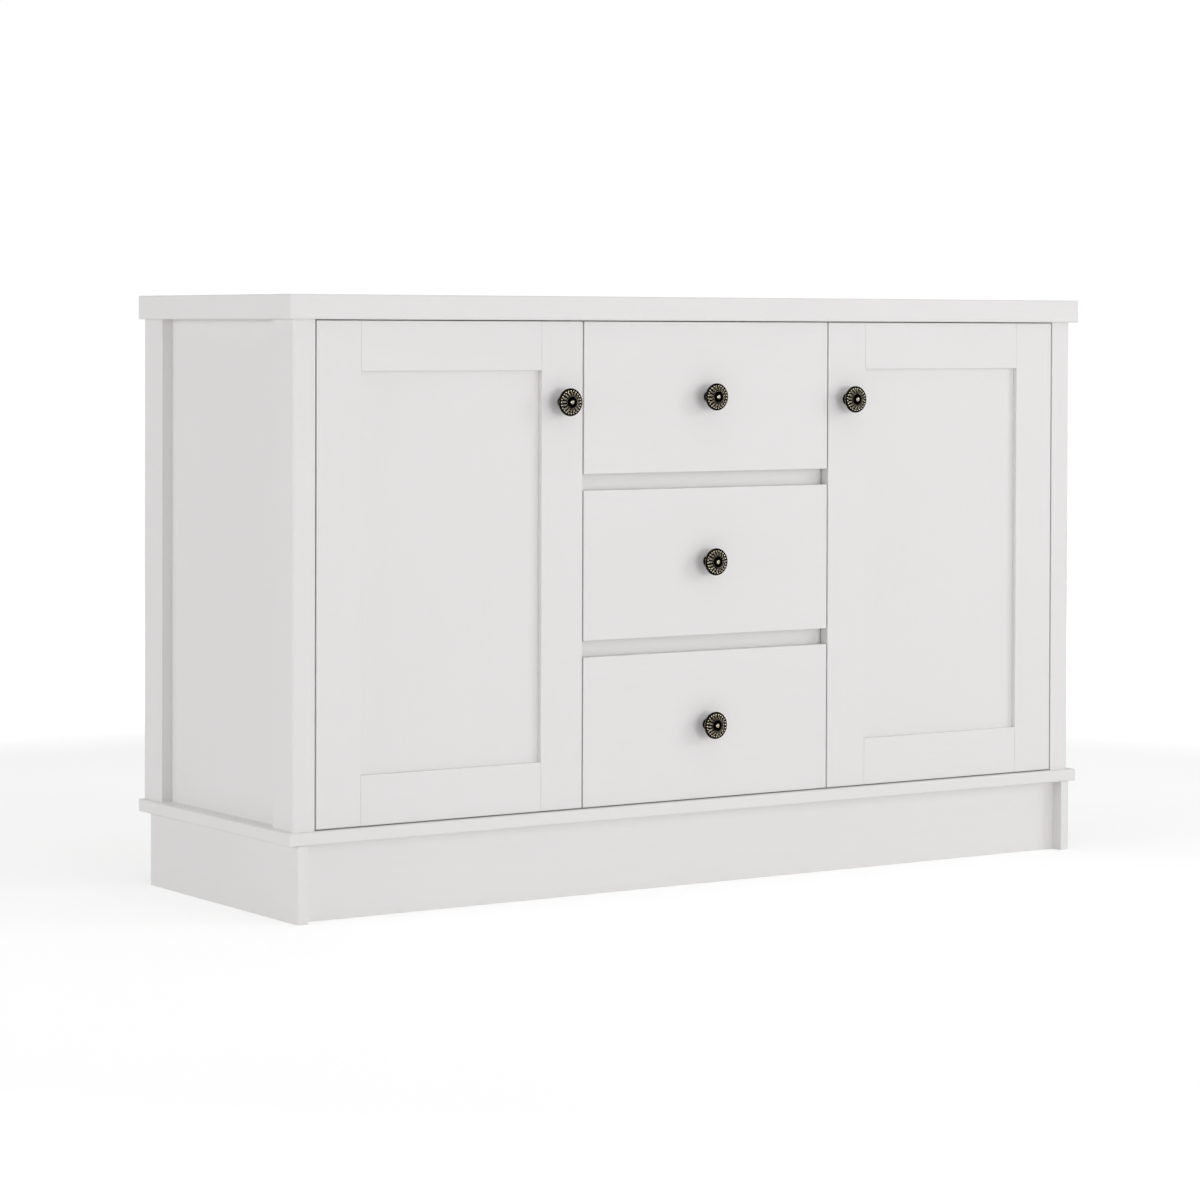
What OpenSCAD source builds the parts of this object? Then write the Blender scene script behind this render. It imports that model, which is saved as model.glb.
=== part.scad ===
// Sideboard buffet with two frame-and-panel doors and three drawers.
// A painted board carcass stands on a set-back plinth. Both doors hang on concealed cup hinges
// and the drawers run on full-extension telescopic runners.
// Millimetres. X is the width, -Y is the front, Z is up. The origin is on the floor, in the
// middle of the overall width and of the overall depth, knobs included.

/* [Overall] */
// height from the floor to the top surface
overall_height = 800; // [795:1:860]
// width across the outer faces of the corner posts
carcass_width = 1288; // [1240:2:1340]
// depth from the door faces to the back of the posts
carcass_depth = 414.5; // [400:0.5:450]
// small rounding on the edges of the fronts
front_edge_radius = 0.8; // [0.5:0.1:1.2]
// rounding on the edges of the top board and the base board
slab_edge_radius = 2.5; // [1.5:0.1:4]

/* [Top and base boards] */
// thickness of the top board
top_thickness = 32; // [28:0.5:36]
// overhang of the top board at the front and the sides
top_overhang = 10; // [8:0.5:16]
// thickness of the base board
base_thickness = 17; // [16:0.5:20]
// overhang of the base board at the front and the sides
base_overhang = 9.3; // [8:0.1:14]

/* [Posts, sides and dividers] */
// width of a post seen from the front
post_width = 32; // [30:0.5:40]
// depth of a front post seen from the side
front_post_depth = 53.5; // [48:0.5:60]
// depth of a rear post seen from the side
rear_post_depth = 51; // [46:0.5:60]
// rounding on the outer corners of the posts
post_radius = 3; // [2:0.1:4]
// step from the outer face of the posts back to the side panel
side_recess = 16; // [12:0.5:18]
// length of the tongue on each edge of a side panel
tongue_length = 8; // [6:0.5:10]
// thickness of the tongue on each edge of a side panel
tongue_thickness = 8; // [6:0.5:9]
// thickness of the two upright dividers
divider_thickness = 16; // [15:0.5:19]
// distance from the back of the doors to the front edge of the dividers
door_stop_gap = 1.5; // [1:0.1:3]
// thickness of the back panel
back_thickness = 5; // [4:0.5:6]
// distance from the back panel to the back of the posts
back_inset = 3.2; // [3:0.1:5]
// width of the rebate that holds each upright edge of the back panel
back_rebate = 8; // [6:0.5:10]

/* [Plinth] */
// height of the plinth boards
plinth_height = 100; // [90:1:120]
// thickness of the plinth boards
plinth_thickness = 15; // [15:0.5:18]
// distance from the outer face of the posts in to the plinth sides
plinth_side_inset = 3; // [2:0.5:12]
// distance from the base board's front edge back to the ends of the plinth sides
plinth_end_inset = 0.6; // [0.5:0.1:8]
// distance from the ends of the plinth sides back to the front plinth board
plinth_front_recess = 17.8; // [10:0.1:30]
// distance from the back of the posts in to the plinth's back board
plinth_back_inset = 13; // [5:0.5:20]

/* [Doors] */
// thickness of the door frames and the drawer fronts
front_thickness = 16; // [16:0.1:16.5]
// gap beside and between the fronts
front_gap = 2; // [1.9:0.1:3]
// gap above the fronts
front_top_gap = 1.2; // [1:0.1:3]
// gap below the fronts
front_bottom_gap = 1.3; // [1:0.1:3]
// width of the stiles and rails
stile_width = 65; // [60:1:75]
// step from the face of the door frame back to its panel
panel_recess = 7.3; // [7:0.1:8]
// thickness of the door panel
panel_thickness = 5; // [4:0.1:5]
// depth of the groove that holds the door panel
panel_groove = 10; // [8:0.5:12]
// distance from the outer edge of a door to its turning axis
hinge_axis_inset = 20; // [20:0.5:22]
// distance from the face of a door to its turning axis
hinge_axis_depth = 8; // [7.8:0.1:8.2]
// distance from each end of a door to the middle of its hinge
hinge_end_distance = 95; // [80:1:120]
// distance from the top of a door to its knob
door_knob_drop = 107; // [60:0.5:200]

/* [Drawers] */
// width of the drawer fronts
drawer_front_width = 406; // [400:1:410]
// height of the two lower drawer fronts
drawer_front_height = 200.5; // [190:0.5:203]
// height of the top drawer front
top_drawer_height = 203.5; // [190:0.5:206]
// distance from the face of the drawer fronts to the rails between them
rail_setback = 17.5; // [17.5:0.5:40]
// height of the rails between the drawers
rail_height = 40; // [36:1:44]
// thickness of the rails between the drawers
rail_thickness = 16; // [12:0.5:18]
// height of the drawer box walls
box_height = 130; // [110:1:132]
// length of the drawer boxes and of their runners
box_length = 350; // [320:1:352]
// thickness of the drawer box walls
box_wall = 12; // [11:0.5:15]
// thickness of the drawer bottoms
box_bottom = 5; // [4:0.5:6]
// height of the drawer box above the bottom edge of its front
box_lift = 22; // [20:1:26]

/* [Shelves] */
// thickness of the cupboard shelves
shelf_thickness = 16; // [15:0.5:19]
// height of the shelf pins above the floor
shelf_pin_height = 430; // [380:1:480]
// distance from the door faces to the front of the shelves
shelf_setback = 50; // [40:1:70]

/* [Knobs] */
// diameter of the knob head
knob_diameter = 37.5; // [35:0.5:38]
// distance the knob stands out from the face
knob_projection = 25; // [23:0.5:28]

/* [Hidden] */
$fn = 48;
fit = 0.05;
overall_depth = carcass_depth + knob_projection;
face_y = -overall_depth / 2 + knob_projection;
half_width = carcass_width / 2;
inner_half = half_width - post_width;
base_top = plinth_height + base_thickness;
top_under = overall_height - top_thickness;
panel_front = back_inset + back_thickness;
divider_front = front_thickness + door_stop_gap;
divider_back = carcass_depth - panel_front;
bay_width = (2 * inner_half - 2 * divider_thickness) / 3;
bay_half = bay_width / 2;
divider_middle = bay_half + divider_thickness / 2;
front_low = base_top + front_bottom_gap;
front_high = top_under - front_top_gap;
front_height = front_high - front_low;
door_width = (2 * inner_half - 4 * front_gap - drawer_front_width) / 2;
door_outer = inner_half - front_gap;
door_inner = door_outer - door_width;
drawer_gap = (front_height - 2 * drawer_front_height - top_drawer_height) / 2;
low_bottom = front_low;
middle_bottom = low_bottom + drawer_front_height + drawer_gap;
upper_bottom = middle_bottom + drawer_front_height + drawer_gap;
low_rail_z = middle_bottom - drawer_gap / 2;
high_rail_z = upper_bottom - drawer_gap / 2;
knob_z_door = front_high - door_knob_drop;
knob_x_door = door_inner + stile_width / 2;
plinth_end = -base_overhang + plinth_end_inset;
plinth_front = plinth_end + plinth_front_recess;
plinth_back = carcass_depth - plinth_back_inset;
plinth_outer = half_width - plinth_side_inset;
hinge_x = door_outer - hinge_axis_inset;
hinge_low = front_low + hinge_end_distance;
hinge_high = front_high - hinge_end_distance;
cup_radius = 17.5;
cup_offset = 2.5;
cup_depth = front_thickness - 4;
peg_offset = 9.5;
peg_spread = 22.5;
peg_radius = 4;
peg_length = 9;
cup_rim = 1.2;
arm_width = 14;
arm_sheet = 2.5;
arm_sweep = 24.5;
pin_radius = 1.4;
pin_half = 16.8;
runner_space = 12.9;
runner_sheet = 1.2;
runner_height = 45;
box_half = bay_half - runner_space;
box_front = front_thickness;
bottom_groove = 5;
bottom_lift = 10;
groove_slack = 0.1;
shelf_gap = 1;
shelf_depth = divider_back - shelf_setback - 4;
shelf_pin_radius = 2.5;
shelf_pin_sink = 8;
shelf_hole_pitch = 32;
shelf_pin_front = shelf_setback + 40;
shelf_pin_back = carcass_depth - rear_post_depth - 14;
dowel_radius = 4;
dowel_length = 30;
screw_radius = 1.75;
screw_length = 13;
screw_head_radius = 3.5;
screw_head_height = 2;
stud_radius = 2;
stud_length = 11;
bead_count = 24;

// ---- helpers ----

// moves a piece drawn with Y counted back from the door faces to its place
module behind_face() {
    translate([0, face_y, 0]) children();
}

// the piece and its mirror image across the middle plane
module both_sides() {
    children();
    mirror([1, 0, 0]) children();
}

// rectangle from the origin, with the four corners rounded to the given radii
// order: left front, right front, right back, left back
module corner_plan(width, depth, radii) {
    difference() {
        square([width, depth]);
        corner_cut([0, 0], 0, radii[0]);
        corner_cut([width, 0], 90, radii[1]);
        corner_cut([width, depth], 180, radii[2]);
        corner_cut([0, depth], 270, radii[3]);
    }
}

// the sliver outside a rounded corner
module corner_cut(spot, turn, radius) {
    if (radius > 0) translate(spot) rotate(turn) difference() {
        translate([-1, -1]) square(radius + 1);
        translate([radius, radius]) circle(radius);
    }
}

// board from the origin with every edge rounded
module eased_board(size, radius) {
    all = [radius, radius, radius, radius];
    intersection() {
        linear_extrude(size[2]) corner_plan(size[0], size[1], all);
        rotate([90, 0, 90]) linear_extrude(size[0]) corner_plan(size[1], size[2], all);
        translate([0, size[1], 0]) rotate([90, 0, 0])
            linear_extrude(size[1]) corner_plan(size[0], size[2], all);
    }
}

// one dowel bore or dowel standing at a spot
module peg(spot, turn, radius, length) {
    translate(spot) rotate(turn) translate([0, 0, -length / 2]) cylinder(r = radius, h = length);
}

// ---- dowel layout ----

// upright dowels between the posts, the dividers and the two slabs, right half
module slab_dowels(radius, length) {
    post_x = half_width - 16;
    for (y = [14, front_post_depth - 14])
        for (z = [base_top + 5, top_under - 3]) peg([post_x, y, z], 0, radius, length);
    for (y = [carcass_depth - rear_post_depth + 12, carcass_depth - 17])
        for (z = [base_top + 5, top_under - 3]) peg([post_x, y, z], 0, radius, length);
    for (y = [60, 210, 360])
        for (z = [base_top + 5, top_under - 3])
            peg([divider_middle, y, z], 0, radius, length);
}

// level dowels between the dividers and the drawer rails, right half
module rail_dowels(radius, length) {
    for (z = [low_rail_z, high_rail_z])
        for (lift = [-10, 10])
            peg([bay_half - 6, rail_setback + rail_thickness / 2, z + lift], [0, 90, 0],
                radius, length);
}

// level dowels in the corners of the plinth, right half
module plinth_dowels(radius, length) {
    for (z = [25, 75]) {
        peg([plinth_outer - plinth_thickness - 6, plinth_front + plinth_thickness / 2, z],
            [0, 90, 0], radius, length);
        peg([plinth_outer - plinth_thickness / 2, plinth_back - plinth_thickness - 6, z],
            [90, 0, 0], radius, length);
    }
}

// upright dowels from the plinth into the base board, right half
module base_dowels(radius, length) {
    for (y = [plinth_front, plinth_back - plinth_thickness])
        for (x = [150, 450])
            peg([x, y + plinth_thickness / 2, plinth_height - 6], 0, radius, length);
}

module all_dowels(radius, length) {
    both_sides() {
        slab_dowels(radius, length);
        rail_dowels(radius, length);
        plinth_dowels(radius, length);
        base_dowels(radius, length);
    }
}

// the holes that every jointed board is cut with
module dowel_bores() {
    all_dowels(dowel_radius + fit, dowel_length + 0.4);
}

// ---- screw layout ----

// pan-head wood screw, head on the +Z side of the surface it holds
module wood_screw() {
    cylinder(r = screw_head_radius, h = screw_head_height);
    translate([0, 0, -screw_length]) cylinder(r = screw_radius, h = screw_length + 1);
}

module screw_bore() {
    translate([0, 0, -screw_length - 0.3]) cylinder(r = screw_radius + fit, h = screw_length + 2);
}

// screws that hold the hinge arms to the side panels, right half
module hinge_screw_spots() {
    for (z = [hinge_low, hinge_high])
        for (lift = [-16, 16])
            translate([inner_half - 2, 72, z + lift]) rotate([0, -90, 0]) children();
}

// screws that hold the cabinet runners to the dividers, right half
module runner_screw_spots() {
    for (z = [low_bottom, middle_bottom, upper_bottom])
        for (y = [60, 200, 340])
            translate([bay_half - runner_sheet, y, z + box_lift + box_height / 2])
                rotate([0, -90, 0]) children();
}

// screws that hold the back panel to the posts and the dividers, right half
module back_screw_spots() {
    for (z = [base_top + 60, (base_top + top_under) / 2, top_under - 60])
        for (x = [inner_half + 4, divider_middle])
            translate([x, carcass_depth - back_inset, z]) rotate([-90, 0, 0]) children();
}

module all_screw_spots() {
    both_sides() {
        hinge_screw_spots() children();
        runner_screw_spots() children();
        back_screw_spots() children();
    }
}

// ---- carcass ----

module top_board() {
    color("white") behind_face() difference() {
        translate([-half_width - top_overhang, -top_overhang, top_under])
            eased_board([carcass_width + 2 * top_overhang, carcass_depth + top_overhang,
                         top_thickness], slab_edge_radius);
        both_sides() slab_dowels(dowel_radius + fit, dowel_length + 0.4);
    }
}

module base_board() {
    color("white") behind_face() difference() {
        translate([-half_width - base_overhang, -base_overhang, plinth_height])
            eased_board([carcass_width + 2 * base_overhang, carcass_depth + base_overhang,
                         base_thickness], slab_edge_radius);
        both_sides() {
            slab_dowels(dowel_radius + fit, dowel_length + 0.4);
            base_dowels(dowel_radius + fit, dowel_length + 0.4);
        }
    }
}

// groove in a post for the tongue of the side panel
module post_groove(y) {
    translate([inner_half + 4 - groove_slack, y, base_top - 1])
        cube([tongue_thickness + 2 * groove_slack, tongue_length + 0.4, front_height + 20]);
}

module right_front_post() {
    difference() {
        translate([inner_half, 0, base_top]) linear_extrude(top_under - base_top)
            corner_plan(post_width, front_post_depth, [front_edge_radius, post_radius, 1.5, 0]);
        post_groove(front_post_depth - tongue_length - 0.4);
        slab_dowels(dowel_radius + fit, dowel_length + 0.4);
    }
}

module right_rear_post() {
    start = carcass_depth - rear_post_depth;
    difference() {
        translate([inner_half, start, base_top]) linear_extrude(top_under - base_top)
            corner_plan(post_width, rear_post_depth, [0, 1.5, 1.5, 0]);
        post_groove(start);
        translate([inner_half - 1, divider_back, base_top - 1])
            cube([back_rebate + 1, panel_front + 1, top_under - base_top + 2]);
        slab_dowels(dowel_radius + fit, dowel_length + 0.4);
        back_screw_spots() screw_bore();
    }
}

module front_left_post() {
    color("white") behind_face() mirror([1, 0, 0]) right_front_post();
}

module front_right_post() {
    color("white") behind_face() right_front_post();
}

module rear_left_post() {
    color("white") behind_face() mirror([1, 0, 0]) right_rear_post();
}

module rear_right_post() {
    color("white") behind_face() right_rear_post();
}

// blind bores for shelf pins in an upright whose inner face is at x, opening towards side
module shelf_bores(x, side) {
    for (y = [shelf_pin_front, shelf_pin_back])
        for (step = [-1, 0, 1])
            translate([x, y, shelf_pin_height + step * shelf_hole_pitch]) rotate([0, side * 90, 0])
                translate([0, 0, -shelf_pin_sink - 0.3])
                    cylinder(r = shelf_pin_radius + fit, h = shelf_pin_sink + 2);
}

module right_panel() {
    start = front_post_depth;
    span = carcass_depth - rear_post_depth - start;
    height = top_under - base_top;
    difference() {
        union() {
            translate([inner_half, start, base_top])
                cube([post_width - side_recess, span, height]);
            translate([inner_half + 4, start - tongue_length, base_top])
                cube([tongue_thickness, span + 2 * tongue_length, height]);
        }
        shelf_bores(inner_half, -1);
        hinge_screw_spots() screw_bore();
    }
}

module left_side_panel() {
    color("white") behind_face() mirror([1, 0, 0]) right_panel();
}

module right_side_panel() {
    color("white") behind_face() right_panel();
}

module divider() {
    radii = [front_edge_radius, front_edge_radius, 0, 0];
    difference() {
        translate([bay_half, divider_front, base_top]) linear_extrude(top_under - base_top)
            corner_plan(divider_thickness, divider_back - divider_front, radii);
        slab_dowels(dowel_radius + fit, dowel_length + 0.4);
        rail_dowels(dowel_radius + fit, dowel_length + 0.4);
        shelf_bores(bay_half + divider_thickness, 1);
        runner_screw_spots() screw_bore();
        back_screw_spots() screw_bore();
    }
}

module left_divider() {
    color("white") behind_face() mirror([1, 0, 0]) divider();
}

module right_divider() {
    color("white") behind_face() divider();
}

module back_panel() {
    reach = inner_half + back_rebate - 0.5;
    color("white") behind_face() difference() {
        translate([-reach, divider_back, base_top])
            cube([2 * reach, back_thickness, top_under - base_top]);
        both_sides() back_screw_spots() screw_bore();
    }
}

module drawer_rails() {
    color("white") behind_face() difference() {
        for (z = [low_rail_z, high_rail_z])
            translate([-bay_half, rail_setback, z - rail_height / 2])
                cube([bay_width, rail_thickness, rail_height]);
        both_sides() rail_dowels(dowel_radius + fit, dowel_length + 0.4);
    }
}

// ---- plinth ----

module plinth_front_board() {
    span = 2 * (plinth_outer - plinth_thickness);
    color("white") behind_face() difference() {
        translate([-span / 2, plinth_front, 0]) cube([span, plinth_thickness, plinth_height]);
        dowel_bores();
    }
}

module plinth_back_board() {
    color("white") behind_face() difference() {
        translate([-plinth_outer, plinth_back - plinth_thickness, 0])
            linear_extrude(plinth_height)
                corner_plan(2 * plinth_outer, plinth_thickness, [0, 0, 1, 1]);
        dowel_bores();
    }
}

module right_plinth() {
    span = plinth_back - plinth_thickness - plinth_end;
    difference() {
        translate([plinth_outer - plinth_thickness, plinth_end, 0])
            linear_extrude(plinth_height)
                corner_plan(plinth_thickness, span, [1, post_radius, 0, 0]);
        dowel_bores();
    }
}

module plinth_left_board() {
    color("white") behind_face() mirror([1, 0, 0]) right_plinth();
}

module plinth_right_board() {
    color("white") behind_face() right_plinth();
}

// ---- shelves and small fittings ----

module shelf() {
    low = bay_half + divider_thickness + shelf_gap;
    translate([low, shelf_setback, shelf_pin_height + shelf_pin_radius])
        eased_board([inner_half - shelf_gap - low, shelf_depth, shelf_thickness],
                    front_edge_radius);
}

module left_shelf() {
    color("white") behind_face() mirror([1, 0, 0]) shelf();
}

module right_shelf() {
    color("white") behind_face() shelf();
}

// shelf pin with its collar, pointing along +Z out of the bore
module shelf_pin() {
    translate([0, 0, -shelf_pin_sink]) cylinder(r = shelf_pin_radius, h = shelf_pin_sink + 8);
}

module shelf_pins() {
    color("silver") behind_face() both_sides() for (y = [shelf_pin_front, shelf_pin_back]) {
        translate([inner_half, y, shelf_pin_height]) rotate([0, -90, 0]) shelf_pin();
        translate([bay_half + divider_thickness, y, shelf_pin_height]) rotate([0, 90, 0])
            shelf_pin();
    }
}

module dowels() {
    color("burlywood") behind_face() all_dowels(dowel_radius, dowel_length);
}

module wood_screws() {
    color("gray") behind_face() all_screw_spots() wood_screw();
}

// ---- hinges ----

// plan of a hinge arm: knuckle, neck, sweep round the door edge, and the foot on the side
module arm_plan() {
    half = arm_sheet / 2;
    neck = 36;
    leave = 100;
    foot_y = 95 - hinge_axis_depth;
    foot_x = inner_half - hinge_x - 2 - half;
    turn = [arm_sweep * cos(leave), arm_sweep * sin(leave)];
    circle(2 * pin_radius);
    rotate(neck) translate([0, -half]) square([arm_sweep, arm_sheet]);
    intersection() {
        difference() {
            circle(arm_sweep + half);
            circle(arm_sweep - half);
        }
        polygon([[0, 0], [60 * cos(neck), 60 * sin(neck)], [40, 60],
                 [60 * cos(leave), 60 * sin(leave)]]);
    }
    bar(turn, [-foot_x, 38], half);
    bar([-foot_x, 38], [-foot_x, foot_y], half);
    translate([-foot_x - half - 2, 40]) square([2 + half, foot_y - 40]);
}

// straight strip between two points, starting a little early to lap the strip before it
module bar(from, to, half) {
    run = to - from;
    translate(from) rotate(atan2(run[1], run[0])) translate([-half, -half])
        square([norm(run) + half, 2 * half]);
}

// hinge arm of the left door with the turning axis on Z
module left_arm() {
    foot = inner_half - hinge_x;
    difference() {
        union() {
            translate([0, 0, -arm_width / 2]) linear_extrude(arm_width) arm_plan();
            translate([-foot, 44, -24]) cube([2, 40, 48]);
        }
        translate([0, 0, -20]) cylinder(r = pin_radius + 0.01, h = 40);
        for (lift = [-16, 16])
            translate([-foot - 1, 72 - hinge_axis_depth, lift]) rotate([0, 90, 0])
                cylinder(r = screw_radius + fit, h = 4);
    }
}

module hinge_arms() {
    color("silver") behind_face() both_sides() for (z = [hinge_low, hinge_high])
        translate([-hinge_x, hinge_axis_depth, z]) left_arm();
}

module hinge_pins() {
    color("gray") behind_face() both_sides() for (z = [hinge_low, hinge_high])
        translate([-hinge_x, hinge_axis_depth, z - pin_half])
            cylinder(r = pin_radius, h = 2 * pin_half);
}

// press-in hinge cup of the left door, with the turning axis on Z and the mouth towards +Y
module left_cup() {
    floor_y = front_thickness - hinge_axis_depth - cup_depth;
    mouth_y = front_thickness - hinge_axis_depth;
    difference() {
        union() {
            translate([cup_offset, floor_y, 0]) rotate([-90, 0, 0])
                cylinder(r = cup_radius - fit, h = cup_depth);
            translate([cup_offset, mouth_y, 0]) rotate([-90, 0, 0])
                cylinder(r = cup_radius + 2.5, h = cup_rim);
            translate([cup_offset, mouth_y, -peg_spread - 6])
                cube([peg_offset + 6, cup_rim, 2 * peg_spread + 12]);
            for (lift = [-peg_spread, peg_spread])
                translate([cup_offset + peg_offset, mouth_y - peg_length, lift])
                    rotate([-90, 0, 0]) cylinder(r = peg_radius, h = peg_length + 0.5);
        }
        translate([cup_offset, floor_y + 0.8, 0]) rotate([-90, 0, 0])
            cylinder(r = cup_radius - 1.55, h = cup_depth + 3);
        translate([0, 0, -pin_half - 0.05])
            cylinder(r = pin_radius + 0.05, h = 2 * pin_half + 0.1);
    }
}

module door_cups() {
    for (z = [hinge_low, hinge_high]) translate([-hinge_x, hinge_axis_depth, z]) left_cup();
}

module left_door_hinge_cups() {
    color("silver") behind_face() door_cups();
}

module right_door_hinge_cups() {
    color("silver") behind_face() mirror([1, 0, 0]) door_cups();
}

// ---- doors, drawn for the left side ----

// groove that runs round the inside of the door frame
module frame_groove() {
    depth = panel_groove + 0.2;
    translate([-door_outer + stile_width - depth, panel_recess - groove_slack,
               front_low + stile_width - depth])
        cube([door_width - 2 * stile_width + 2 * depth, panel_thickness + 2 * groove_slack,
              front_height - 2 * stile_width + 2 * depth]);
}

module stile(x) {
    translate([x, 0, front_low])
        eased_board([stile_width, front_thickness, front_height], front_edge_radius);
}

// slot in a stile for the stub tenons of both rails and for the panel
module stile_slot() {
    depth = panel_groove + 0.2;
    translate([-door_outer + stile_width - depth, panel_recess - groove_slack, front_low + 8])
        cube([door_width - 2 * stile_width + 2 * depth, panel_thickness + 2 * groove_slack,
              front_height - 16]);
}

module left_hinge_stile() {
    difference() {
        stile(-door_outer);
        stile_slot();
        for (z = [hinge_low, hinge_high]) {
            translate([-hinge_x + cup_offset, front_thickness - cup_depth, z])
                rotate([-90, 0, 0]) cylinder(r = cup_radius, h = cup_depth + 1);
            for (lift = [-peg_spread, peg_spread])
                translate([-hinge_x + cup_offset + peg_offset,
                           front_thickness - peg_length - 0.3, z + lift])
                    rotate([-90, 0, 0]) cylinder(r = peg_radius + fit, h = peg_length + 1);
        }
    }
}

module left_latch_stile() {
    difference() {
        stile(-door_inner - stile_width);
        stile_slot();
        translate([-knob_x_door, -1, knob_z_door]) rotate([-90, 0, 0])
            cylinder(r = stud_radius + fit, h = stud_length + 1.5);
    }
}

// rail with its lower edge at z and stub tenons into the stiles
module rail(z) {
    difference() {
        union() {
            translate([-door_outer + stile_width, 0, z])
                eased_board([door_width - 2 * stile_width, front_thickness, stile_width],
                            front_edge_radius);
            translate([-door_outer + stile_width - panel_groove, panel_recess, z + 8.5])
                cube([door_width - 2 * stile_width + 2 * panel_groove, panel_thickness,
                      stile_width - 17]);
        }
        frame_groove();
    }
}

module door_panel() {
    reach = panel_groove - 0.5;
    translate([-door_outer + stile_width - reach, panel_recess, front_low + stile_width - reach])
        cube([door_width - 2 * stile_width + 2 * reach, panel_thickness,
              front_height - 2 * stile_width + 2 * reach]);
}

module left_door_hinge_stile() {
    color("white") behind_face() left_hinge_stile();
}

module left_door_latch_stile() {
    color("white") behind_face() left_latch_stile();
}

module left_door_top_rail() {
    color("white") behind_face() rail(front_high - stile_width);
}

module left_door_bottom_rail() {
    color("white") behind_face() rail(front_low);
}

module left_door_panel() {
    color("white") behind_face() door_panel();
}

module right_door_hinge_stile() {
    color("white") behind_face() mirror([1, 0, 0]) left_hinge_stile();
}

module right_door_latch_stile() {
    color("white") behind_face() mirror([1, 0, 0]) left_latch_stile();
}

module right_door_top_rail() {
    color("white") behind_face() mirror([1, 0, 0]) rail(front_high - stile_width);
}

module right_door_bottom_rail() {
    color("white") behind_face() mirror([1, 0, 0]) rail(front_low);
}

module right_door_panel() {
    color("white") behind_face() mirror([1, 0, 0]) door_panel();
}

// ---- knobs ----

// turned body of a knob, with its axis on Z and the mounting face at Z = 0:
// stud, foot, stem, underside, rim, dome, ring and well
module knob_body() {
    edge = knob_diameter / 2;
    tall = knob_projection;
    neck = (tall - 5.5) / 19.5;
    rotate_extrude() polygon([
        [0, -stud_length], [stud_radius, -stud_length], [stud_radius, 0], [8, 0],
        [8, 1.2 * neck], [6.4, 2.4 * neck], [5.3, 4.4 * neck], [5, 7 * neck],
        [5.5, 9.6 * neck], [7.2, 12 * neck], [10.2, 14.2 * neck], [13.4, 15.8 * neck],
        [edge - 2.4, 17 * neck], [edge - 0.7, 18.1 * neck], [edge, tall - 5.6],
        [edge - 0.3, tall - 4.6], [edge - 1.5, tall - 3.9], [edge - 3, tall - 4.2],
        [edge - 4.3, tall - 4.3], [edge - 5.5, tall - 3.4], [edge - 7.5, tall - 2.2],
        [edge - 9.5, tall - 1.2], [7.7, tall - 0.5], [7, tall - 0.4], [6.3, tall - 1],
        [5.4, tall - 2.5], [0, tall - 2.5]]);
    translate([0, 0, tall - 4.4]) sphere(r = 4.4);
}

// ring of beads on the shoulder of the knob
module knob_beads() {
    for (i = [0:bead_count - 1]) rotate(i * 360 / bead_count)
        translate([knob_diameter / 2 - 3.6, 0, knob_projection - 4.3])
            sphere(r = 1, $fn = 24);
}

// knob standing on the front at the given spot
module knob_at(x, z) {
    translate([x, 0, z]) rotate([90, 0, 0]) union() {
        knob_body();
        knob_beads();
    }
}

module left_door_knob() {
    color("darkgoldenrod") behind_face() knob_at(-knob_x_door, knob_z_door);
}

module right_door_knob() {
    color("darkgoldenrod") behind_face() knob_at(knob_x_door, knob_z_door);
}

module top_drawer_knob() {
    color("darkgoldenrod") behind_face() knob_at(0, upper_bottom + top_drawer_height / 2);
}

module middle_drawer_knob() {
    color("darkgoldenrod") behind_face() knob_at(0, middle_bottom + drawer_front_height / 2);
}

module bottom_drawer_knob() {
    color("darkgoldenrod") behind_face() knob_at(0, low_bottom + drawer_front_height / 2);
}

// ---- drawers; each piece is drawn for a drawer whose front starts at height low ----

// space that the drawer bottom and its groove take
module bottom_slab(low, slack) {
    reach = box_half - box_wall + bottom_groove;
    translate([-reach - slack, box_front - bottom_groove - slack,
               low + box_lift + bottom_lift - slack])
        cube([2 * (reach + slack), box_length + bottom_groove + 2 * slack,
              box_bottom + 2 * slack]);
}

// space that the front end of a box side takes in the housing of the drawer front
module side_end(low, slack) {
    translate([box_half - box_wall - slack, box_front - bottom_groove - slack,
               low + box_lift - slack])
        cube([box_wall + 2 * slack, bottom_groove + 2 * slack, box_height + 2 * slack]);
}

module drawer_front(low, height) {
    difference() {
        translate([-drawer_front_width / 2, 0, low])
            eased_board([drawer_front_width, front_thickness, height], front_edge_radius);
        bottom_slab(low, groove_slack);
        both_sides() side_end(low, groove_slack);
        translate([0, -1, low + height / 2]) rotate([-90, 0, 0])
            cylinder(r = stud_radius + fit, h = stud_length + 1.5);
    }
}

// housing in the box sides that the drawer back sits in
module back_wall(low, slack) {
    reach = box_half - box_wall + 4;
    translate([-reach - slack, box_front + box_length - box_wall - slack,
               low + box_lift + bottom_lift + box_bottom + 0.3])
        cube([2 * (reach + slack), box_wall + 2 * slack,
              box_height - bottom_lift - box_bottom - 0.3 + slack]);
}

module drawer_sides(low) {
    difference() {
        both_sides() translate([box_half - box_wall, box_front - bottom_groove, low + box_lift])
            cube([box_wall, box_length + bottom_groove, box_height]);
        bottom_slab(low, groove_slack);
        back_wall(low, groove_slack);
    }
}

module drawer_back(low) {
    back_wall(low, 0);
}

// ---- runners; U counts inwards from the divider face, drawn for the right side ----

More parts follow.
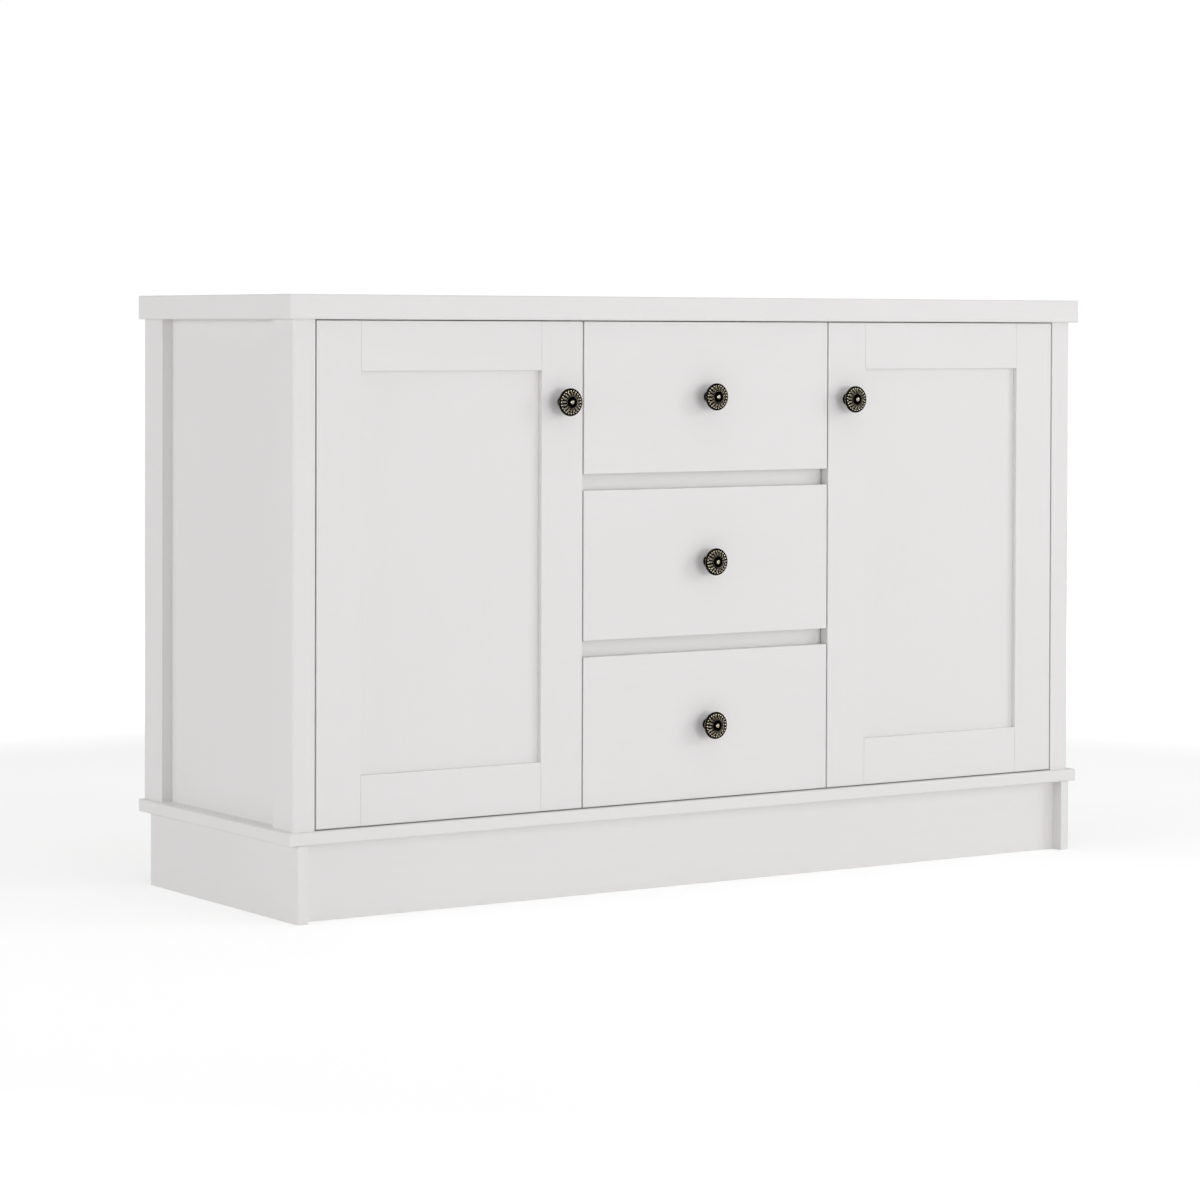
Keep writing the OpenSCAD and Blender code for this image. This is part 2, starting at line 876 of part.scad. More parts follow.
// channel section: back at u_back, lips reaching to u_lip, outer half height tall
module channel(u_back, u_lip, tall) {
    far = max(u_back, u_lip);
    near = min(u_back, u_lip);
    web = u_back < u_lip ? u_back : u_back - runner_sheet;
    translate([bay_half - web - runner_sheet, -tall]) square([runner_sheet, 2 * tall]);
    for (z = [-tall, tall - runner_sheet])
        translate([bay_half - far, z]) square([far - near, runner_sheet]);
}

// channel extruded back from y over the given length at the runner height of a drawer
module channel_bar(low, y, length, u_back, u_lip, tall) {
    translate([0, y + length, low + box_lift + box_height / 2]) rotate([90, 0, 0])
        linear_extrude(length) channel(u_back, u_lip, tall);
}

module cabinet_runners() {
    color("silver") behind_face() difference() {
        both_sides() for (low = [low_bottom, middle_bottom, upper_bottom])
            channel_bar(low, front_thickness + 3, box_length, 0, 10, runner_height / 2);
        both_sides() runner_screw_spots() screw_bore();
    }
}

module slide_members(low) {
    both_sides() channel_bar(low, front_thickness + 6, box_length - 20, 3.6, 10.2, 20.2);
}

module drawer_runners(low) {
    both_sides() channel_bar(low, front_thickness + 2, box_length - 4, runner_space, 5.6, 17.9);
}

module top_drawer_front() {
    color("white") behind_face() drawer_front(upper_bottom, top_drawer_height);
}

module top_drawer_sides() {
    color("white") behind_face() drawer_sides(upper_bottom);
}

module top_drawer_back() {
    color("white") behind_face() drawer_back(upper_bottom);
}

module top_drawer_bottom() {
    color("white") behind_face() bottom_slab(upper_bottom, 0);
}

module top_drawer_runners() {
    color("silver") behind_face() drawer_runners(upper_bottom);
}

module top_slide_members() {
    color("silver") behind_face() slide_members(upper_bottom);
}

module middle_drawer_front() {
    color("white") behind_face() drawer_front(middle_bottom, drawer_front_height);
}

module middle_drawer_sides() {
    color("white") behind_face() drawer_sides(middle_bottom);
}

module middle_drawer_back() {
    color("white") behind_face() drawer_back(middle_bottom);
}

module middle_drawer_bottom() {
    color("white") behind_face() bottom_slab(middle_bottom, 0);
}

module middle_drawer_runners() {
    color("silver") behind_face() drawer_runners(middle_bottom);
}

module middle_slide_members() {
    color("silver") behind_face() slide_members(middle_bottom);
}

module bottom_drawer_front() {
    color("white") behind_face() drawer_front(low_bottom, drawer_front_height);
}

module bottom_drawer_sides() {
    color("white") behind_face() drawer_sides(low_bottom);
}

module bottom_drawer_back() {
    color("white") behind_face() drawer_back(low_bottom);
}

module bottom_drawer_bottom() {
    color("white") behind_face() bottom_slab(low_bottom, 0);
}

module bottom_drawer_runners() {
    color("silver") behind_face() drawer_runners(low_bottom);
}

module bottom_slide_members() {
    color("silver") behind_face() slide_members(low_bottom);
}

top_board();
base_board();
front_left_post();
front_right_post();
rear_left_post();
rear_right_post();
left_side_panel();
right_side_panel();
left_divider();
right_divider();
back_panel();
drawer_rails();
plinth_front_board();
plinth_back_board();
plinth_left_board();
plinth_right_board();
left_shelf();
right_shelf();
shelf_pins();
dowels();
wood_screws();
hinge_arms();
hinge_pins();
cabinet_runners();
left_door_hinge_stile();
left_door_latch_stile();
left_door_top_rail();
left_door_bottom_rail();
left_door_panel();
left_door_knob();
left_door_hinge_cups();
right_door_hinge_stile();
right_door_latch_stile();
right_door_top_rail();
right_door_bottom_rail();
right_door_panel();
right_door_knob();
right_door_hinge_cups();
top_drawer_front();
top_drawer_sides();
top_drawer_back();
top_drawer_bottom();
top_drawer_knob();
top_drawer_runners();
top_slide_members();
middle_drawer_front();
middle_drawer_sides();
middle_drawer_back();
middle_drawer_bottom();
middle_drawer_knob();
middle_drawer_runners();
middle_slide_members();
bottom_drawer_front();
bottom_drawer_sides();
bottom_drawer_back();
bottom_drawer_bottom();
bottom_drawer_knob();
bottom_drawer_runners();
bottom_slide_members();
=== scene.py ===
import math

import bpy
import numpy as np
from mathutils import Matrix, Vector


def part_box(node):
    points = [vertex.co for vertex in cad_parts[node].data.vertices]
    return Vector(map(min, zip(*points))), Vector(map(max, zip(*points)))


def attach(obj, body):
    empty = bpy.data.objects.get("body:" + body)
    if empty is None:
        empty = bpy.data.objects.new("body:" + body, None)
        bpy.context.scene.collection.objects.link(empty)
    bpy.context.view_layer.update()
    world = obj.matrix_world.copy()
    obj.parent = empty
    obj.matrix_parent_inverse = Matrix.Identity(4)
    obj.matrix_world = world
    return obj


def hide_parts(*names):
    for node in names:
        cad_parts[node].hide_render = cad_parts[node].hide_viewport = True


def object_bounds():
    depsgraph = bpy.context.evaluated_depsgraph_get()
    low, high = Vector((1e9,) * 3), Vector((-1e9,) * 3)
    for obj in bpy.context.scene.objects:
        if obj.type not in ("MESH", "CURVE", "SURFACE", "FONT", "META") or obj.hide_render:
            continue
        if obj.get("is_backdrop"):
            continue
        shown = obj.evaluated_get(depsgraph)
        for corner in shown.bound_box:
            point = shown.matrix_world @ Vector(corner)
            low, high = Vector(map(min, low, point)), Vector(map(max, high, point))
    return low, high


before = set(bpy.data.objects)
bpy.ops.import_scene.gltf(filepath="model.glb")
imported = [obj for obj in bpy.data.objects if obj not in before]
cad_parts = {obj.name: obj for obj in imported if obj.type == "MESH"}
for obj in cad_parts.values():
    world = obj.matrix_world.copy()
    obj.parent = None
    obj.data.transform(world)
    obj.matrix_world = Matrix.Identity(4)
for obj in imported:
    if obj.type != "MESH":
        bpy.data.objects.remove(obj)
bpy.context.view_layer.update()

MM = 0.001

# ---------------------------------------------------------------- materials


def new_material(name):
    """A node material, with its tree and its shader."""
    material = bpy.data.materials.new(name)
    material.use_nodes = True
    tree = material.node_tree
    shader = tree.nodes["Principled BSDF"]
    return material, tree, shader


def noise(tree, coordinates, scale, detail=4.0, roughness=0.5, stretch=(1, 1, 1), w=0.0):
    """Noise over the piece's own coordinates, stretched along the grain. Returns the factor."""
    mapping = tree.nodes.new("ShaderNodeMapping")
    mapping.inputs["Scale"].default_value = stretch
    mapping.inputs["Location"].default_value = (w, w * 0.7, w * 1.3)
    tree.links.new(coordinates, mapping.inputs["Vector"])
    texture = tree.nodes.new("ShaderNodeTexNoise")
    texture.inputs["Scale"].default_value = scale
    texture.inputs["Detail"].default_value = detail
    texture.inputs["Roughness"].default_value = roughness
    tree.links.new(mapping.outputs["Vector"], texture.inputs["Vector"])
    return texture.outputs["Fac"]


def ramp(tree, factor, stops):
    """A colour ramp of (position, colour) stops."""
    node = tree.nodes.new("ShaderNodeValToRGB")
    elements = node.color_ramp.elements
    while len(elements) < len(stops):
        elements.new(0.5)
    for element, (position, colour) in zip(elements, stops):
        element.position = position
        element.color = (*colour, 1.0)
    tree.links.new(factor, node.inputs["Fac"])
    return node.outputs["Color"]


def spread(tree, factor, low, high, start=0.0, end=1.0):
    """Maps a factor onto the range low to high."""
    node = tree.nodes.new("ShaderNodeMapRange")
    node.inputs["From Min"].default_value = start
    node.inputs["From Max"].default_value = end
    node.inputs["To Min"].default_value = low
    node.inputs["To Max"].default_value = high
    tree.links.new(factor, node.inputs["Value"])
    return node.outputs["Result"]


def mix_factor(tree, a, b, share):
    """(1 - share) * a + share * b."""
    node = tree.nodes.new("ShaderNodeMix")
    node.data_type = "FLOAT"
    node.inputs[0].default_value = share
    tree.links.new(a, node.inputs[2])
    tree.links.new(b, node.inputs[3])
    return node.outputs[0]


def bump(tree, shader, height, distance, strength):
    """Raises the surface by the height, up to distance in metres."""
    node = tree.nodes.new("ShaderNodeBump")
    node.inputs["Strength"].default_value = strength
    node.inputs["Distance"].default_value = distance
    tree.links.new(height, node.inputs["Height"])
    tree.links.new(node.outputs["Normal"], shader.inputs["Normal"])


def own_coordinates(tree):
    """Coordinates that stay with the piece as it moves."""
    return tree.nodes.new("ShaderNodeTexCoord").outputs["Object"]


# how far the grain is drawn out along X, Y or Z
GRAIN = {"x": (1.0, 28.0, 28.0), "y": (28.0, 1.0, 28.0), "z": (28.0, 28.0, 1.0)}


# the paint's green and blue against its red
PAINT_TINT = (1.0, 0.983, 0.979)
BACK_TINT = (1.0, 0.985, 0.965)
LINING_TINT = (1.0, 0.985, 0.968)
# how dark and how light the ghost of the grain is, against the paint's own tone
STREAK_DARK = 0.990
STREAK_LIGHT = 1.008


def paint(name, grain, tone, roughness, offset, tint=PAINT_TINT):
    """Sprayed satin paint with the ghost of a fine grain under it."""
    material, tree, shader = new_material(name)
    at = own_coordinates(tree)
    streaks = noise(tree, at, 9.0, 5.0, 0.6, GRAIN[grain], offset)
    cloud = noise(tree, at, 3.0, 3.0, 0.5, (1, 1, 1), offset + 4.0)
    both = mix_factor(tree, streaks, cloud, 0.6)
    dark = tuple(tone * STREAK_DARK * part for part in tint)
    light = tuple(tone * STREAK_LIGHT * part for part in tint)
    colour = ramp(tree, both, [(0.36, dark), (0.64, light)])
    tree.links.new(colour, shader.inputs["Base Color"])
    sheen = noise(tree, at, 30.0, 3.0, 0.55, (1, 1, 1), offset + 9.0)
    tree.links.new(
        spread(tree, sheen, roughness - 0.04, roughness + 0.05, 0.3, 0.7),
        shader.inputs["Roughness"],
    )
    shader.inputs["Specular IOR Level"].default_value = 0.42
    orange_peel = noise(tree, at, 420.0, 2.0, 0.5, (1, 1, 1), offset)
    height = mix_factor(tree, streaks, orange_peel, 0.4)
    bump(tree, shader, height, 0.00008, 0.28)
    return material


def beech():
    """Raw beech with its grain along the dowel."""
    material, tree, shader = new_material("raw_beech")
    at = own_coordinates(tree)
    grain = noise(tree, at, 60.0, 5.0, 0.6, (1.0, 1.0, 0.2), 2.0)
    flecks = noise(tree, at, 900.0, 2.0, 0.5, (1.0, 1.0, 0.15), 5.0)
    tone = mix_factor(tree, grain, flecks, 0.35)
    colour = ramp(
        tree, tone, [(0.3, (0.42, 0.25, 0.13)), (0.55, (0.58, 0.38, 0.21)), (0.75, (0.68, 0.47, 0.28))]
    )
    tree.links.new(colour, shader.inputs["Base Color"])
    tree.links.new(spread(tree, grain, 0.55, 0.75), shader.inputs["Roughness"])
    bump(tree, shader, tone, 0.0001, 0.5)
    return material


def plated(name, dark, light, roughness, stretch):
    """Plated steel with rolling marks along one direction and small cloudy patches."""
    material, tree, shader = new_material(name)
    at = own_coordinates(tree)
    marks = noise(tree, at, 160.0, 4.0, 0.6, stretch, 1.0)
    patches = noise(tree, at, 70.0, 4.0, 0.65, (1, 1, 1), 6.0)
    both = mix_factor(tree, marks, patches, 0.5)
    tree.links.new(ramp(tree, both, [(0.35, dark), (0.65, light)]), shader.inputs["Base Color"])
    shader.inputs["Metallic"].default_value = 1.0
    tree.links.new(
        spread(tree, both, roughness - 0.07, roughness + 0.12, 0.3, 0.7), shader.inputs["Roughness"]
    )
    bump(tree, shader, marks, 0.00004, 0.4)
    return material


def antique_brass():
    """Dark patina in the recesses, brass rubbed bright on the high points."""
    material, tree, shader = new_material("antique_brass")
    at = own_coordinates(tree)
    relief = tree.nodes.new("ShaderNodeAttribute")
    relief.attribute_name = "relief"
    mottling = noise(tree, at, 520.0, 5.0, 0.65, (1, 1, 1), 3.0)
    worn = tree.nodes.new("ShaderNodeMath")
    worn.operation = "MULTIPLY_ADD"
    tree.links.new(mottling, worn.inputs[0])
    worn.inputs[1].default_value = 0.42
    tree.links.new(relief.outputs["Fac"], worn.inputs[2])
    wear = worn.outputs[0]
    colour = ramp(
        tree,
        spread(tree, wear, 0.0, 1.0, 0.1, 1.3),
        [
            (0.35, (0.0015, 0.0014, 0.0012)),
            (0.64, (0.005, 0.0042, 0.0034)),
            (0.78, (0.035, 0.030, 0.021)),
            (0.92, (0.95, 0.86, 0.66)),
        ],
    )
    tree.links.new(colour, shader.inputs["Base Color"])
    tree.links.new(spread(tree, wear, 0.55, 0.20, 0.2, 1.2), shader.inputs["Roughness"])
    shader.inputs["Metallic"].default_value = 1.0
    bump(tree, shader, mottling, 0.00006, 0.5)
    return material


# strength of the sweep as the camera sees it, and of the walls and ceiling as they light the object
SWEEP_WHITE = 1.02
WALL_GLOW = 0.55
CEILING_GLOW = 0.35
# elevations in degrees between which the walls ease into the ceiling
WALL_TOP = 12
CEILING_EDGE = 55
# light added to the floor near the object, and how much of its own shading that replaces
FLOOR_GLOW = 0.34
FLOOR_LIFT = 0.05
# distances in metres: the floor keeps its own shading plus the near painted glow out to the first, then
# eases to white
GLOW_STARTS = 1.6
GLOW_FULL = 3.0
SWEEP_FULL = 6.0


def calculated(tree, operation, a, b):
    """The result of one operation on two values."""
    node = tree.nodes.new("ShaderNodeMath")
    node.operation = operation
    tree.links.new(a, node.inputs[0])
    tree.links.new(b, node.inputs[1])
    return node.outputs[0]


def eased(tree, distance, start, end, near, far):
    """Eases from near to far as the distance goes from start to end."""
    node = tree.nodes.new("ShaderNodeMapRange")
    node.interpolation_type = "SMOOTHSTEP"
    node.inputs["From Min"].default_value = start
    node.inputs["From Max"].default_value = end
    node.inputs["To Min"].default_value = near
    node.inputs["To Max"].default_value = far
    tree.links.new(distance, node.inputs["Value"])
    return node.outputs["Result"]


def floor_paper():
    """A pale floor that glows with painted light as the camera sees it: a lift near the object that
    lightens its shadows, easing into plain white some way from the object.
    """
    material, tree, shader = new_material("studio_floor")
    at = own_coordinates(tree)
    cloud = noise(tree, at, 1.5, 2.0, 0.5, (1, 1, 1), 0.0)
    tree.links.new(
        ramp(tree, cloud, [(0.3, (0.925, 0.925, 0.925)), (0.7, (0.935, 0.935, 0.935))]),
        shader.inputs["Base Color"],
    )
    shader.inputs["Roughness"].default_value = 1.0
    shader.inputs["Specular IOR Level"].default_value = 0.0
    away = tree.nodes.new("ShaderNodeVectorMath")
    away.operation = "LENGTH"
    tree.links.new(at, away.inputs[0])
    distance = away.outputs["Value"]
    far = eased(tree, distance, GLOW_FULL, SWEEP_FULL, FLOOR_LIFT, 1.0)
    seen = tree.nodes.new("ShaderNodeLightPath").outputs["Is Camera Ray"]
    # painted light: a glow only the camera sees, lifting the floor's shadows near the object and turning
    # it white further out
    glow = tree.nodes.new("ShaderNodeEmission")
    added = eased(tree, distance, GLOW_STARTS, GLOW_FULL, FLOOR_GLOW, SWEEP_WHITE)
    tree.links.new(calculated(tree, "DIVIDE", added, far), glow.inputs["Strength"])
    blend = tree.nodes.new("ShaderNodeMixShader")
    tree.links.new(calculated(tree, "MULTIPLY", far, seen), blend.inputs["Fac"])
    tree.links.new(shader.outputs["BSDF"], blend.inputs[1])
    tree.links.new(glow.outputs["Emission"], blend.inputs[2])
    tree.links.new(blend.outputs["Shader"], tree.nodes["Material Output"].inputs["Surface"])
    return material


PAINT_TONE = 0.82
BACK_TONE = PAINT_TONE * 0.95
LINING_TONE = PAINT_TONE * 0.97
PAINT_ROUGHNESS = 0.42
BACK_ROUGHNESS = 0.6
LINING_ROUGHNESS = 0.55
# name, direction of the grain, tone, roughness, place in the noise, tint
paint_upright = paint("white_paint_upright", "z", PAINT_TONE, PAINT_ROUGHNESS, 0.0)
paint_level = paint("white_paint_level", "x", PAINT_TONE, PAINT_ROUGHNESS, 11.0)
paint_deep = paint("white_paint_deep", "y", PAINT_TONE, PAINT_ROUGHNESS, 23.0)
paint_back = paint("back_board_paint", "z", BACK_TONE, BACK_ROUGHNESS, 31.0, BACK_TINT)
lining_deep = paint("drawer_lining_deep", "y", LINING_TONE, LINING_ROUGHNESS, 41.0, LINING_TINT)
lining_level = paint("drawer_lining_level", "x", LINING_TONE, LINING_ROUGHNESS, 47.0, LINING_TINT)
beech_wood = beech()
nickel = plated("nickel_plate", (0.50, 0.48, 0.45), (0.66, 0.64, 0.60), 0.30, (1, 1, 8))
zinc_screw = plated("zinc_screw", (0.47, 0.48, 0.50), (0.63, 0.64, 0.66), 0.34, (1, 1, 1))
zinc_runner = plated("zinc_runner", (0.50, 0.52, 0.54), (0.66, 0.68, 0.70), 0.32, (10, 1, 10))
brass = antique_brass()

# ---------------------------------------------------------------- finishes on the CAD pieces

UPRIGHT = [
    "front_left_post", "front_right_post", "rear_left_post", "rear_right_post",
    "left_side_panel", "right_side_panel", "left_divider", "right_divider",
    "left_door_hinge_stile", "left_door_latch_stile", "left_door_panel",
    "right_door_hinge_stile", "right_door_latch_stile", "right_door_panel",
]
LEVEL = [
    "top_board", "base_board", "drawer_rails", "plinth_front_board", "plinth_back_board",
    "left_shelf", "right_shelf", "left_door_top_rail", "left_door_bottom_rail",
    "right_door_top_rail", "right_door_bottom_rail", "top_drawer_front",
    "middle_drawer_front", "bottom_drawer_front",
]
DEEP = ["plinth_left_board", "plinth_right_board"]
DRAWERS = ["top", "middle", "bottom"]

finish_of = {name: paint_upright for name in UPRIGHT}
finish_of.update({name: paint_level for name in LEVEL})
finish_of.update({name: paint_deep for name in DEEP})
finish_of["back_panel"] = paint_back
finish_of["dowels"] = beech_wood
for name in ("hinge_arms", "left_door_hinge_cups", "right_door_hinge_cups"):
    finish_of[name] = nickel
for name in ("hinge_pins", "wood_screws", "shelf_pins"):
    finish_of[name] = zinc_screw
finish_of["cabinet_runners"] = zinc_runner
for level in DRAWERS:
    finish_of[f"{level}_drawer_sides"] = lining_deep
    finish_of[f"{level}_drawer_back"] = lining_level
    finish_of[f"{level}_drawer_bottom"] = lining_level
    finish_of[f"{level}_drawer_runners"] = zinc_runner
    finish_of[f"{level}_slide_members"] = zinc_runner

for name, material in finish_of.items():
    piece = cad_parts[name]
    piece.data.materials.clear()
    piece.data.materials.append(material)

# ---------------------------------------------------------------- knobs

# all of a knob's lengths are in mm
SECTORS = 288
OUTLINE_STEP = 0.2
# the end of the stud keeps its sharp corners, and the rows from this one on are softened
SOFT_FROM_ROW = 24
KNOB_TALL = 25.0
PETALS = 16
PETAL_INNER = 8.8
PETAL_OUTER = 13.9
PETAL_RISE = 1.0
PETAL_SINK = 0.7
# the part of a petal's length from which its end is round
PETAL_TIP = 0.72
STRANDS = 48
ROPE_RISE = 0.62
ROPE_SINK = 0.4
RING_TIPS = 2 * PETALS
BEADS = 24
BEAD_RADIUS = 1.12
BEAD_CIRCLE = 15.05
BEAD_HEIGHT = 20.7
BEAD_RINGS = 10
BEAD_STEPS = 18
BOSS_WEAR = 0.91
# radius and height of the turned outline, from the stud to the middle of the face, in mm
OUTLINE = [
    (0.0, -11.0), (1.7, -11.0), (2.0, -10.7), (2.0, 0.0), (7.6, 0.0), (8.0, 0.35), (8.0, 0.85),
    (7.6, 1.3), (6.9, 1.55), (6.3, 2.2), (5.7, 3.3), (5.25, 4.8), (5.0, 6.4), (5.1, 8.0),
    (5.6, 9.8), (6.5, 11.3), (8.3, 12.8), (10.6, 14.2), (13.4, 15.7), (15.6, 16.6),
    (16.3, 17.1), (16.8, 17.6), (17.5, 17.9), (18.2, 18.5), (18.5, 19.3), (18.3, 20.2),
    (17.7, 20.8), (17.0, 21.0), (16.4, 20.6), (16.1, 20.35), (15.7, 20.45), (15.1, 20.5),
    (14.4, 20.45), (14.0, 20.4), (13.75, 20.7), (12.7, 21.5), (11.4, 22.4), (10.3, 23.2),
    (9.7, 23.65), (9.2, 24.0), (8.8, 24.25), (8.3, 24.35), (7.9, 24.2), (7.5, 23.7),
    (7.1, 22.9), (6.5, 22.1), (5.7, 21.8), (5.0, 21.9), (4.6, 22.3), (4.3, 23.0), (3.9, 23.7),
    (3.2, 24.4), (2.3, 24.8), (1.2, 24.96), (0.0, 25.0),
]


def resampled(points, step):
    """Points along the outline, no further apart than step, corners kept."""
    out = [points[0]]
    for (r0, z0), (r1, z1) in zip(points, points[1:]):
        count = max(1, int(math.ceil(math.hypot(r1 - r0, z1 - z0) / step)))
        for i in range(1, count + 1):
            t = i / count
            out.append((r0 + (r1 - r0) * t, z0 + (z1 - z0) * t))
    return np.array(out)


def smoothed(path, rounds, fixed):
    """Softens an outline, leaving the rows up to fixed alone."""
    path = path.copy()
    for _ in range(rounds):
        path[fixed:-1] = (path[fixed - 1:-2] + 2 * path[fixed:-1] + path[fixed + 1:]) / 4
    return path


def petal_height(radius, turn):
    """Height of the ring of petals over its ground, 0 to 1."""
    t = np.clip((radius - PETAL_INNER) / (PETAL_OUTER - PETAL_INNER), 0.0, 1.0)
    tip = np.sqrt(np.clip(1 - ((t - PETAL_TIP) / (1 - PETAL_TIP)) ** 2, 0, 1))
    shank = 0.62 + 0.38 * (t / PETAL_TIP) ** 0.7
    width = np.where(t > PETAL_TIP, tip, shank)
    across = np.abs(((turn * PETALS / (2 * math.pi)) % 1.0) - 0.5) * 2
    inside = np.clip(1 - (across / np.maximum(width, 1e-3)) ** 2, 0, 1)
    dome = np.sqrt(inside) * np.clip(t / 0.08, 0, 1)
    vein = np.exp(-((across / 0.16) ** 2)) * np.clip(1 - t * 1.15, 0, 1)
    return np.clip(dome - 0.45 * vein, 0, 1)


def rope_height(along, turn):
    """Height of the twisted edge, 0 to 1. along runs from 0 to 1 round the edge."""
    strand = np.abs(np.sin(0.5 * STRANDS * turn + math.pi * along * 1.2))
    return strand ** 0.7 * np.sin(math.pi * along) ** 0.5


def knob_mesh():
    """The whole knob with its stud, standing on the origin, with how worn each point is."""
    path = smoothed(resampled(OUTLINE, OUTLINE_STEP), 2, SOFT_FROM_ROW)
    rows = len(path)
    tangent = np.gradient(path, axis=0)
    tangent /= np.maximum(np.linalg.norm(tangent, axis=1, keepdims=True), 1e-9)
    outward = np.stack([tangent[:, 1], -tangent[:, 0]], 1)
    turn = np.arange(SECTORS) * 2 * math.pi / SECTORS
    radius = np.repeat(path[:, :1], SECTORS, 1)
    height = np.repeat(path[:, 1:], SECTORS, 1)
    turns = np.repeat(turn[None, :], rows, 0)
    lift = np.zeros((rows, SECTORS))
    relief = np.zeros((rows, SECTORS))

    face = (path[:, 1] > 20.3) & (path[:, 0] < 13.9) & (path[:, 0] > 8.75)
    petals = petal_height(radius[face], turns[face])
    lift[face] = petals * PETAL_RISE - PETAL_SINK
    outwards = np.clip((radius[face] - PETAL_INNER) / (PETAL_OUTER - PETAL_INNER), 0, 1)
    relief[face] = petals ** 1.35 * (1.12 - 0.2 * outwards)

    first = int(np.argmax((path[:, 0] > 17.0) & (path[:, 1] > 17.6)))
    last = rows - 1 - int(np.argmax(((path[:, 0] > 16.6) & (path[:, 1] > 17.6))[::-1]))
    along = (np.arange(first, last + 1) - first) / (last - first)
    rope = rope_height(along[:, None], turns[first:last + 1])
    lift[first:last + 1] = rope * ROPE_RISE - ROPE_SINK
    relief[first:last + 1] = rope ** 1.5 * 0.95

    inner_ring = (path[:, 0] < 8.75) & (path[:, 0] > 7.3) & (path[:, 1] > 23.4)
    tips = np.abs(np.sin(0.5 * RING_TIPS * turns[inner_ring])) ** 0.6
    lift[inner_ring] = tips * 0.4 - 0.3
    relief[inner_ring] = 0.05 + 0.85 * tips

    boss = (path[:, 0] < 4.5) & (path[:, 1] > 22.4)
    relief[boss] = np.clip((path[boss, 1] - 22.9) / 2.1, 0, BOSS_WEAR)[:, None]
    relief[path[:, 1] < 17.5] = 0.12
    bulge = (path[:, 1] > -0.5) & (path[:, 1] < 1.7)
    relief[bulge] = 0.3

    radius = radius + outward[:, :1] * lift
    height = height + outward[:, 1:] * lift
    x, y = radius * np.cos(turns), radius * np.sin(turns)
    # the first and the last row are the two poles
    body = np.stack([x, y, height], -1)[1:-1].reshape(-1, 3)
    shade = relief[1:-1].reshape(-1)
    count = rows - 2
    low_pole, high_pole = len(body), len(body) + 1
    vertices = [body, [[0, 0, path[0, 1]], [0, 0, path[-1, 1]]]]
    shades = [shade, [0.0, BOSS_WEAR]]
    faces = []
    for i in range(count - 1):
        for j in range(SECTORS):
            k = (j + 1) % SECTORS
            faces.append((i * SECTORS + j, i * SECTORS + k, (i + 1) * SECTORS + k, (i + 1) * SECTORS + j))
    for j in range(SECTORS):
        k = (j + 1) % SECTORS
        faces.append((low_pole, k, j))
        faces.append((high_pole, (count - 1) * SECTORS + j, (count - 1) * SECTORS + k))
    total = len(body) + 2

    rings, steps = BEAD_RINGS, BEAD_STEPS
    for b in range(BEADS):
        angle = (b + 0.5) * 2 * math.pi / BEADS
        centre = np.array([BEAD_CIRCLE * math.cos(angle), BEAD_CIRCLE * math.sin(angle), BEAD_HEIGHT])
        ball = []
        for i in range(1, rings):
            tilt = math.pi * i / rings
            for j in range(steps):
                a = 2 * math.pi * j / steps
                ball.append([math.sin(tilt) * math.cos(a), math.sin(tilt) * math.sin(a), math.cos(tilt)])
        ball += [[0, 0, 1], [0, 0, -1]]
        ball = np.array(ball)
        vertices.append(centre + ball * BEAD_RADIUS)
        shades.append(np.clip(0.45 + ball[:, 2] * 0.9, 0, 1.1))
        top, bottom = total + (rings - 1) * steps, total + (rings - 1) * steps + 1
        for i in range(rings - 2):
            for j in range(steps):
                k = (j + 1) % steps
                faces.append((total + i * steps + j, total + (i + 1) * steps + j,
                              total + (i + 1) * steps + k, total + i * steps + k))
        for j in range(steps):
            k = (j + 1) % steps
            faces.append((top, total + j, total + k))
            faces.append((bottom, total + (rings - 2) * steps + k, total + (rings - 2) * steps + j))
        total += len(ball)

    mesh = bpy.data.meshes.new("knob")
    mesh.from_pydata(np.concatenate([np.asarray(v, float) for v in vertices]) * MM, [], faces)
    mesh.update()
    shade = np.concatenate([np.asarray(s, float) for s in shades]).astype(np.float32)
    mesh.attributes.new("relief", "FLOAT", "POINT").data.foreach_set("value", shade)
    mesh.shade_smooth()
    return mesh


# the CAD piece, the body it rides on, and how far the pattern is turned, in degrees
KNOBS = [
    ("left_door_knob", "left_door", 8),
    ("right_door_knob", "right_door", -17),
    ("top_drawer_knob", "top_drawer", 0),
    ("middle_drawer_knob", "middle_drawer", 11),
    ("bottom_drawer_knob", "bottom_drawer", -6),
]
for node, body, spin in KNOBS:
    low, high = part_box(node)
    mesh = knob_mesh()
    mesh.materials.append(brass)
    knob = bpy.data.objects.new(node.replace("_knob", "_ornate_knob"), mesh)
    bpy.context.scene.collection.objects.link(knob)
    knob.data.transform(Matrix.Rotation(math.radians(spin), 4, "Z"))
    knob.data.transform(Matrix.Rotation(math.radians(90), 4, "X"))
    middle = (low + high) / 2
    knob.data.transform(Matrix.Translation((middle.x, low.y + KNOB_TALL * MM, middle.z)))
    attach(knob, body)
    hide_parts(node)

# ---------------------------------------------------------------- studio

